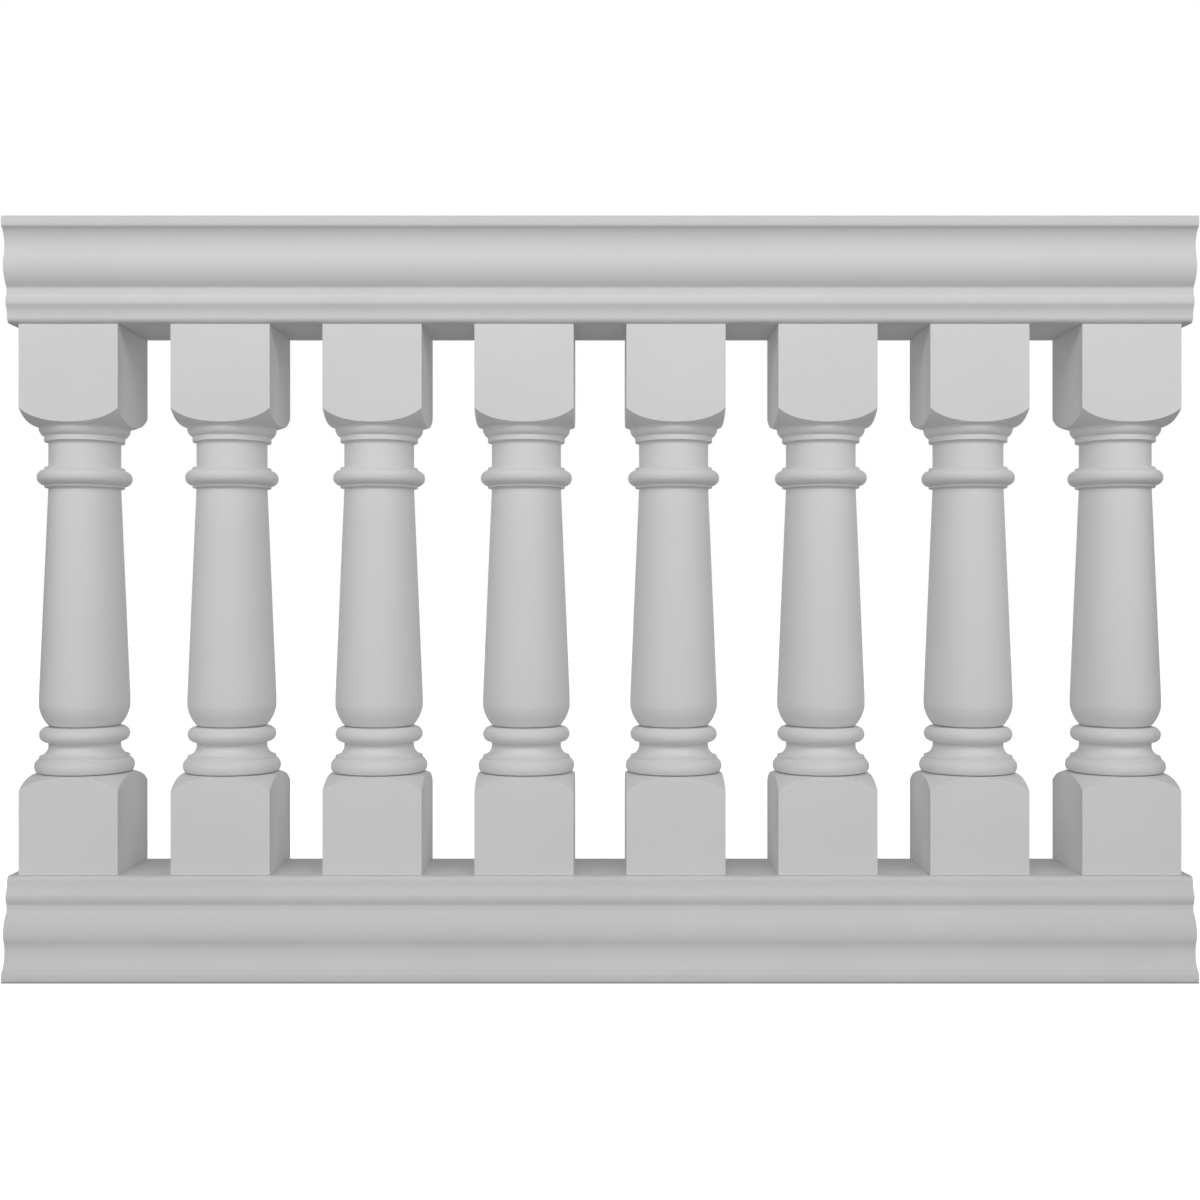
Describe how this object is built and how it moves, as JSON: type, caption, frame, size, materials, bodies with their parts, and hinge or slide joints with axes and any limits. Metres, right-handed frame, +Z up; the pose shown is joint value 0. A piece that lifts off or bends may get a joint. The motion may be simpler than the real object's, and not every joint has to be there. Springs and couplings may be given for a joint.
{
  "type": "deck railing section",
  "caption": "straight balustrade section for a deck or porch: a row of turned balusters with square blocks, set between a moulded top rail and the same rail turned over below",
  "frame": {"origin": "centre of the bottom rail's underside, on the ground", "axes": "+X along the rails, -Y out of the front, +Z up"},
  "size_m": [1.524, 0.1778, 0.9779],
  "materials": {
    "primed_polyurethane": "matte white primer over rigid moulded polyurethane foam"
  },
  "bodies": {
    "root": {"bottom_rail": "primed_polyurethane", "top_rail": "primed_polyurethane", "baluster_1": "primed_polyurethane", "baluster_2": "primed_polyurethane", "baluster_3": "primed_polyurethane", "baluster_4": "primed_polyurethane", "baluster_5": "primed_polyurethane", "baluster_6": "primed_polyurethane", "baluster_7": "primed_polyurethane", "baluster_8": "primed_polyurethane"}
  },
  "joints": []
}
